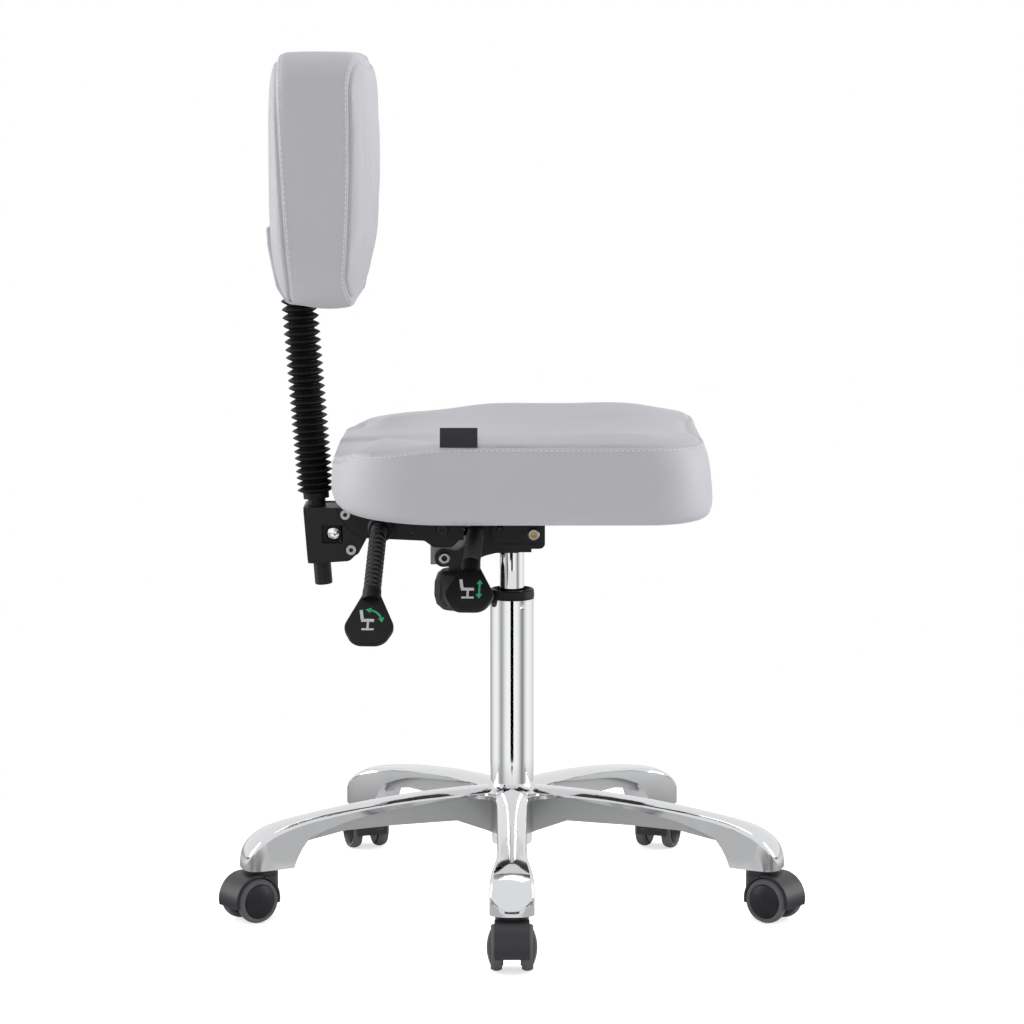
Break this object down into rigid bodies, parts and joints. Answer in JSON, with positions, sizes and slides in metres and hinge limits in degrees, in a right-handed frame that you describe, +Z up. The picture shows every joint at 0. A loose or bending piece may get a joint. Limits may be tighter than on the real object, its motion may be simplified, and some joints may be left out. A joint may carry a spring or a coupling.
{
  "type": "medical stool",
  "caption": "Rolling medical stool with contoured padded seat, padded back on a bellows-covered post, tilt and lift levers, gas column and polished star base on twin-wheel casters.",
  "frame": {"origin": "on the floor, on the column's axis", "axes": "+X to the front of the stool, +Y to its left, +Z up along the column"},
  "size_m": [0.6568, 0.6292, 0.967],
  "materials": {
    "upholstery": "soft grained artificial leather, light grey",
    "polished_aluminium": "polished casting with blasted webs",
    "chrome": "bright chrome",
    "black_steel": "black satin powder coat",
    "black_plastic": "black moulded plastic",
    "knob_plastic": "dark grey moulded plastic",
    "grip_rubber": "black ribbed grip",
    "zinc_steel": "zinc plated",
    "bellows_rubber": "black moulded bellows",
    "plywood": "plywood stained black",
    "caster_plastic": "dark satin plastic",
    "hub_plastic": "black satin cap",
    "tyre_grey": "grey soft tread"
  },
  "bodies": {
    "base": {"base_star": "polished_aluminium", "column_tube": "chrome", "column_bush": "black_plastic"},
    "column_rod": {"piston_rod": "zinc_steel"},
    "column_lift": {"gas_cylinder": "chrome", "column_carrier": "black_steel", "carrier_bolts": "zinc_steel", "tension_saddle": "zinc_steel", "tilt_spring": "zinc_steel"},
    "valve": {"valve_pin": "zinc_steel"},
    "knob": {"tension_knob": "knob_plastic", "tension_screw": "zinc_steel"},
    "lift_lever": {"lift_rod": "zinc_steel", "lift_sleeve": "grip_rubber", "lift_paddle": "black_plastic"},
    "seat": {"seat_channel": "black_steel", "frame_bolts": "zinc_steel", "seat_board": "plywood", "seat_cushion": "upholstery", "tilt_boss": "black_plastic", "back_bracket": "black_steel", "guide_bush": "black_plastic", "back_bellows": "bellows_rubber"},
    "tilt_lever": {"tilt_rod": "zinc_steel", "tilt_sleeve": "grip_rubber", "tilt_paddle": "black_plastic"},
    "button": {"height_button": "chrome"},
    "backrest": {"back_post": "black_steel", "backrest_cushion": "upholstery", "back_cover": "upholstery"},
    "caster_1": {"caster_1_housing": "caster_plastic", "caster_1_pins": "zinc_steel"},
    "caster_1_wheel_left": {"caster_1_hub_left": "hub_plastic", "caster_1_tyre_left": "tyre_grey"},
    "caster_1_wheel_right": {"caster_1_hub_right": "hub_plastic", "caster_1_tyre_right": "tyre_grey"},
    "caster_2": {"caster_2_housing": "caster_plastic", "caster_2_pins": "zinc_steel"},
    "caster_2_wheel_left": {"caster_2_hub_left": "hub_plastic", "caster_2_tyre_left": "tyre_grey"},
    "caster_2_wheel_right": {"caster_2_hub_right": "hub_plastic", "caster_2_tyre_right": "tyre_grey"},
    "caster_3": {"caster_3_housing": "caster_plastic", "caster_3_pins": "zinc_steel"},
    "caster_3_wheel_left": {"caster_3_hub_left": "hub_plastic", "caster_3_tyre_left": "tyre_grey"},
    "caster_3_wheel_right": {"caster_3_hub_right": "hub_plastic", "caster_3_tyre_right": "tyre_grey"},
    "caster_4": {"caster_4_housing": "caster_plastic", "caster_4_pins": "zinc_steel"},
    "caster_4_wheel_left": {"caster_4_hub_left": "hub_plastic", "caster_4_tyre_left": "tyre_grey"},
    "caster_4_wheel_right": {"caster_4_hub_right": "hub_plastic", "caster_4_tyre_right": "tyre_grey"},
    "caster_5": {"caster_5_housing": "caster_plastic", "caster_5_pins": "zinc_steel"},
    "caster_5_wheel_left": {"caster_5_hub_left": "hub_plastic", "caster_5_tyre_left": "tyre_grey"},
    "caster_5_wheel_right": {"caster_5_hub_right": "hub_plastic", "caster_5_tyre_right": "tyre_grey"}
  },
  "joints": [
    {"name": "seat_swivel", "type": "hinge", "parent": "base", "child": "column_rod", "pos_m": [0, 0, 0.2], "axis": [0, 0, 1], "continuous": true},
    {"name": "seat_lift", "type": "slide", "parent": "column_rod", "child": "column_lift", "axis": [0, 0, 1], "range_m": [-0.035, 0.1]},
    {"name": "lift_lever_pull", "type": "hinge", "parent": "column_lift", "child": "lift_lever", "pos_m": [-0.037, -0.027, 0.436], "axis": [-1, 0, 0], "range_deg": [0, 4.5]},
    {"name": "valve_press", "type": "slide", "parent": "column_lift", "child": "valve", "axis": [0, 0, -1], "range_m": [0, 0.0022]},
    {"name": "tension_knob_turn", "type": "hinge", "parent": "column_lift", "child": "knob", "pos_m": [-0.06, 0, 0.36], "axis": [0, 0, 1], "continuous": true},
    {"name": "seat_tilt", "type": "hinge", "parent": "column_lift", "child": "seat", "pos_m": [0.0243, 0, 0.429], "axis": [0, -1, 0], "range_deg": [0, 6], "stiffness_Nm_per_rad": 260, "springref_deg": -17.19, "deforming": ["tilt_spring"]},
    {"name": "tilt_lever_pull", "type": "hinge", "parent": "seat", "child": "tilt_lever", "pos_m": [-0.1466, -0.048, 0.4362], "axis": [-1, 0, 0], "range_deg": [0, 4.5]},
    {"name": "height_button_press", "type": "slide", "parent": "seat", "child": "button", "axis": [0, 1, 0], "range_m": [0, 0.003], "stiffness_N_per_m": 500},
    {"name": "back_height", "type": "slide", "parent": "seat", "child": "backrest", "axis": [-0.0785, 0, 0.9969], "range_m": [-0.06, 0], "deforming": ["back_bellows"]},
    {"name": "caster_1_swivel", "type": "hinge", "parent": "base", "child": "caster_1", "pos_m": [0, -0.295, 0.06], "axis": [0, 0, 1], "continuous": true},
    {"name": "caster_1_wheel_left_spin", "type": "hinge", "parent": "caster_1", "child": "caster_1_wheel_left", "pos_m": [0, -0.312, 0.025], "axis": [1, 0, 0], "continuous": true},
    {"name": "caster_1_wheel_right_spin", "type": "hinge", "parent": "caster_1", "child": "caster_1_wheel_right", "pos_m": [0, -0.312, 0.025], "axis": [1, 0, 0], "continuous": true},
    {"name": "caster_2_swivel", "type": "hinge", "parent": "base", "child": "caster_2", "pos_m": [0.28056, -0.09116, 0.06], "axis": [0, 0, 1], "continuous": true},
    {"name": "caster_2_wheel_left_spin", "type": "hinge", "parent": "caster_2", "child": "caster_2_wheel_left", "pos_m": [0.29414, -0.10139, 0.025], "axis": [0.6018, 0.7986, 0], "continuous": true},
    {"name": "caster_2_wheel_right_spin", "type": "hinge", "parent": "caster_2", "child": "caster_2_wheel_right", "pos_m": [0.29414, -0.10139, 0.025], "axis": [0.6018, 0.7986, 0], "continuous": true},
    {"name": "caster_3_swivel", "type": "hinge", "parent": "base", "child": "caster_3", "pos_m": [0.1734, 0.23866, 0.06], "axis": [0, 0, 1], "continuous": true},
    {"name": "caster_3_wheel_left_spin", "type": "hinge", "parent": "caster_3", "child": "caster_3_wheel_left", "pos_m": [0.17921, 0.25463, 0.025], "axis": [-0.9397, 0.342, 0], "continuous": true},
    {"name": "caster_3_wheel_right_spin", "type": "hinge", "parent": "caster_3", "child": "caster_3_wheel_right", "pos_m": [0.17921, 0.25463, 0.025], "axis": [-0.9397, 0.342, 0], "continuous": true},
    {"name": "caster_4_swivel", "type": "hinge", "parent": "base", "child": "caster_4", "pos_m": [-0.1734, 0.23866, 0.06], "axis": [0, 0, 1], "continuous": true},
    {"name": "caster_4_wheel_left_spin", "type": "hinge", "parent": "caster_4", "child": "caster_4_wheel_left", "pos_m": [-0.17921, 0.25463, 0.025], "axis": [-0.9397, -0.342, 0], "continuous": true},
    {"name": "caster_4_wheel_right_spin", "type": "hinge", "parent": "caster_4", "child": "caster_4_wheel_right", "pos_m": [-0.17921, 0.25463, 0.025], "axis": [-0.9397, -0.342, 0], "continuous": true},
    {"name": "caster_5_swivel", "type": "hinge", "parent": "base", "child": "caster_5", "pos_m": [-0.28056, -0.09116, 0.06], "axis": [0, 0, 1], "continuous": true},
    {"name": "caster_5_wheel_left_spin", "type": "hinge", "parent": "caster_5", "child": "caster_5_wheel_left", "pos_m": [-0.29414, -0.10139, 0.025], "axis": [0.6018, -0.7986, 0], "continuous": true},
    {"name": "caster_5_wheel_right_spin", "type": "hinge", "parent": "caster_5", "child": "caster_5_wheel_right", "pos_m": [-0.29414, -0.10139, 0.025], "axis": [0.6018, -0.7986, 0], "continuous": true}
  ],
  "couplings": [
    {"joint": "valve_press", "follows": "lift_lever_pull", "m_per_rad": 0.027}
  ]
}
